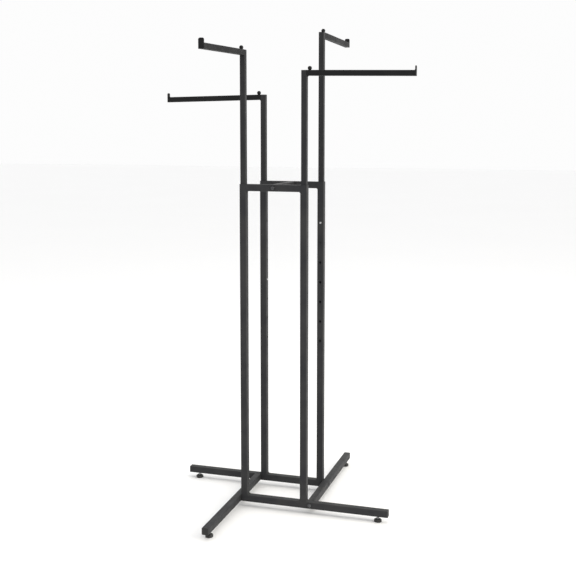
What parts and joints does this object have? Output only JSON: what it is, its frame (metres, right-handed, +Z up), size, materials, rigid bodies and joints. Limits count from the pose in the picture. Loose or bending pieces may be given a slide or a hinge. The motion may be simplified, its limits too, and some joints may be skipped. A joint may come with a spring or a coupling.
{
  "type": "four way clothing rack",
  "caption": "Free-standing garment rack: a pinwheel base on levelling feet, a square frame of tubes and four height-adjustable straight arms.",
  "frame": {"origin": "on the floor, under the centre of the square of uprights", "axes": "+Z up, +X towards the front right arm's tip, -Y towards the front left arm's tip (the front)"},
  "size_m": [1.024, 1.024, 1.7871],
  "materials": {
    "charcoal_paint": "satin fine-texture charcoal powder coat",
    "black_plastic": "moulded black plastic, fine texture",
    "bright_zinc": "bright zinc plate",
    "black_bolt_steel": "black zinc plate"
  },
  "bodies": {
    "frame": {"front_base_bar": "charcoal_paint", "right_base_bar": "charcoal_paint", "back_base_bar": "charcoal_paint", "left_base_bar": "charcoal_paint", "front_top_rail": "charcoal_paint", "back_top_rail": "charcoal_paint", "centre_cross_bar": "charcoal_paint", "front_right_upright": "charcoal_paint", "back_right_upright": "charcoal_paint", "back_left_upright": "charcoal_paint", "front_left_upright": "charcoal_paint", "base_joint_bolts": "black_bolt_steel", "top_joint_bolts": "black_bolt_steel", "base_joint_plugs": "bright_zinc", "top_joint_plugs": "bright_zinc", "foot_bushes": "bright_zinc", "front_leg_cap": "black_plastic", "right_leg_cap": "black_plastic", "back_leg_cap": "black_plastic", "left_leg_cap": "black_plastic"},
    "front_right_arm": {"front_right_post": "charcoal_paint", "front_right_post_cap": "black_plastic", "front_right_arm_tube": "charcoal_paint", "front_right_end_plate": "charcoal_paint", "front_right_stop_stud": "charcoal_paint", "front_right_snap_spring": "bright_zinc"},
    "front_right_button": {"front_right_snap_button": "bright_zinc"},
    "back_right_arm": {"back_right_post": "charcoal_paint", "back_right_post_cap": "black_plastic", "back_right_arm_tube": "charcoal_paint", "back_right_end_plate": "charcoal_paint", "back_right_stop_stud": "charcoal_paint", "back_right_snap_spring": "bright_zinc"},
    "back_right_button": {"back_right_snap_button": "bright_zinc"},
    "back_left_arm": {"back_left_post": "charcoal_paint", "back_left_post_cap": "black_plastic", "back_left_arm_tube": "charcoal_paint", "back_left_end_plate": "charcoal_paint", "back_left_stop_stud": "charcoal_paint", "back_left_snap_spring": "bright_zinc"},
    "back_left_button": {"back_left_snap_button": "bright_zinc"},
    "front_left_arm": {"front_left_post": "charcoal_paint", "front_left_post_cap": "black_plastic", "front_left_arm_tube": "charcoal_paint", "front_left_end_plate": "charcoal_paint", "front_left_stop_stud": "charcoal_paint", "front_left_snap_spring": "bright_zinc"},
    "front_left_button": {"front_left_snap_button": "bright_zinc"},
    "front_foot": {"front_foot_base": "black_plastic"},
    "front_stem": {"front_foot_stem": "bright_zinc"},
    "right_foot": {"right_foot_base": "black_plastic"},
    "right_stem": {"right_foot_stem": "bright_zinc"},
    "back_foot": {"back_foot_base": "black_plastic"},
    "back_stem": {"back_foot_stem": "bright_zinc"},
    "left_foot": {"left_foot_base": "black_plastic"},
    "left_stem": {"left_foot_stem": "bright_zinc"}
  },
  "joints": [
    {"name": "front_right_arm_height", "type": "slide", "parent": "frame", "child": "front_right_arm", "axis": [0, 0, 1], "range_m": [-0.3048, 0.1524]},
    {"name": "front_right_button_press", "type": "slide", "parent": "front_right_arm", "child": "front_right_button", "axis": [1, 0, 0], "range_m": [0, 0.0045], "stiffness_N_per_m": 800, "springref_m": -0.003},
    {"name": "back_right_arm_height", "type": "slide", "parent": "frame", "child": "back_right_arm", "axis": [0, 0, 1], "range_m": [-0.4572, 0]},
    {"name": "back_right_button_press", "type": "slide", "parent": "back_right_arm", "child": "back_right_button", "axis": [0, 1, 0], "range_m": [0, 0.0045], "stiffness_N_per_m": 800, "springref_m": -0.003},
    {"name": "back_left_arm_height", "type": "slide", "parent": "frame", "child": "back_left_arm", "axis": [0, 0, 1], "range_m": [-0.2286, 0.2286]},
    {"name": "back_left_button_press", "type": "slide", "parent": "back_left_arm", "child": "back_left_button", "axis": [-1, 0, 0], "range_m": [0, 0.0045], "stiffness_N_per_m": 800, "springref_m": -0.003},
    {"name": "front_left_arm_height", "type": "slide", "parent": "frame", "child": "front_left_arm", "axis": [0, 0, 1], "range_m": [-0.381, 0.0762]},
    {"name": "front_left_button_press", "type": "slide", "parent": "front_left_arm", "child": "front_left_button", "axis": [0, -1, 0], "range_m": [0, 0.0045], "stiffness_N_per_m": 800, "springref_m": -0.003},
    {"name": "front_foot_level", "type": "slide", "parent": "frame", "child": "front_foot", "axis": [0, 0, 1], "range_m": [-0.008, 0.007]},
    {"name": "front_stem_turn", "type": "hinge", "parent": "front_foot", "child": "front_stem", "pos_m": [0.3945, -0.115, 0.02], "axis": [0, 0, 1], "range_deg": [-2310, 2020]},
    {"name": "right_foot_level", "type": "slide", "parent": "frame", "child": "right_foot", "axis": [0, 0, 1], "range_m": [-0.008, 0.007]},
    {"name": "right_stem_turn", "type": "hinge", "parent": "right_foot", "child": "right_stem", "pos_m": [0.14, 0.4195, 0.02], "axis": [0, 0, 1], "range_deg": [-2310, 2020]},
    {"name": "back_foot_level", "type": "slide", "parent": "frame", "child": "back_foot", "axis": [0, 0, 1], "range_m": [-0.008, 0.007]},
    {"name": "back_stem_turn", "type": "hinge", "parent": "back_foot", "child": "back_stem", "pos_m": [-0.3945, 0.115, 0.02], "axis": [0, 0, 1], "range_deg": [-2310, 2020]},
    {"name": "left_foot_level", "type": "slide", "parent": "frame", "child": "left_foot", "axis": [0, 0, 1], "range_m": [-0.008, 0.007]},
    {"name": "left_stem_turn", "type": "hinge", "parent": "left_foot", "child": "left_stem", "pos_m": [-0.14, -0.4195, 0.02], "axis": [0, 0, 1], "range_deg": [-2310, 2020]}
  ],
  "couplings": [
    {"joint": "front_stem_turn", "follows": "front_foot_level", "rad_per_m": 5026.5},
    {"joint": "right_stem_turn", "follows": "right_foot_level", "rad_per_m": 5026.5},
    {"joint": "back_stem_turn", "follows": "back_foot_level", "rad_per_m": 5026.5},
    {"joint": "left_stem_turn", "follows": "left_foot_level", "rad_per_m": 5026.5}
  ]
}
